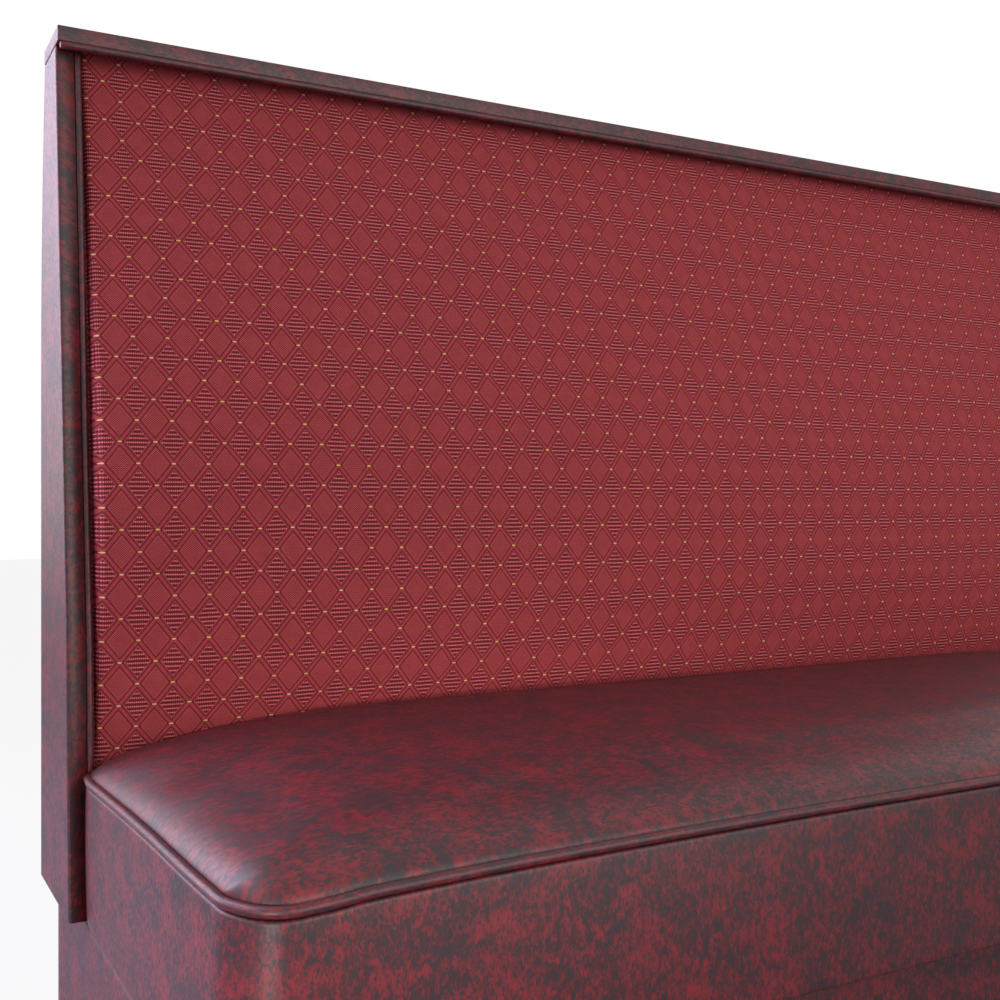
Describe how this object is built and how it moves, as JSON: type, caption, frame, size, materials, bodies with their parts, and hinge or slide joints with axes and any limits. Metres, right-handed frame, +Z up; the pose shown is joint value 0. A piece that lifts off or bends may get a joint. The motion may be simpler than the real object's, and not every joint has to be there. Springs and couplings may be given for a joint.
{
  "type": "restaurant booth seat",
  "caption": "Single-sided restaurant booth with a crowned vinyl seat, a tall pillow back in lattice-patterned fabric, wrapped end panels, a thin top cap and a recessed plinth base.",
  "frame": {"origin": "on the floor, at the middle of the bounding box in plan", "axes": "+X along the booth, from its left end to its right end as a person facing the seat sees them; +Y to the rear, away from the seat front; +Z up"},
  "size_m": [1.676, 0.71, 1.219],
  "materials": {
    "vinyl": "satin, mottled",
    "woven_fabric": "woven lattice pattern",
    "foam": "open cell foam",
    "plywood": "unfinished",
    "hardboard": "smooth, unfinished",
    "dust_cloth": "thin non-woven",
    "zinc_steel": "zinc plated",
    "glide_plastic": "matte"
  },
  "bodies": {
    "root": {"back_board": "plywood", "back_bolts": "zinc_steel", "back_bottom_rail": "plywood", "back_fabric": "woven_fabric", "back_foam": "foam", "back_nuts": "zinc_steel", "back_rails": "plywood", "back_rib_end_left": "plywood", "back_rib_end_right": "plywood", "back_rib_middle_1": "plywood", "back_rib_middle_2": "plywood", "back_rib_middle_3": "plywood", "back_top_rail": "plywood", "back_washers": "zinc_steel", "base_cover": "vinyl", "base_divider_1": "plywood", "base_divider_2": "plywood", "base_divider_3": "plywood", "base_front_board": "plywood", "base_rear_board": "plywood", "base_side_board_left": "plywood", "base_side_board_right": "plywood", "boxing_foam": "foam", "cap_bead": "vinyl", "cap_board": "plywood", "cap_cover": "vinyl", "dust_cover": "dust_cloth", "end_panel_board_left": "plywood", "end_panel_board_right": "plywood", "end_panel_cover_left": "vinyl", "end_panel_cover_right": "vinyl", "end_panel_welt_left": "vinyl", "end_panel_welt_right": "vinyl", "glide_blocks": "plywood", "glides": "glide_plastic", "joining_plates": "zinc_steel", "rear_board": "hardboard", "rear_cover": "vinyl", "seat_boxing": "vinyl", "seat_corner_block_left": "plywood", "seat_corner_block_right": "plywood", "seat_cover": "vinyl", "seat_cross_rail_1": "plywood", "seat_cross_rail_2": "plywood", "seat_cross_rail_3": "plywood", "seat_deck": "plywood", "seat_foam": "foam", "seat_front_rail": "plywood", "seat_rear_rail": "plywood", "seat_side_rail_left": "plywood", "seat_side_rail_right": "plywood", "seat_welt": "vinyl"}
  },
  "joints": []
}
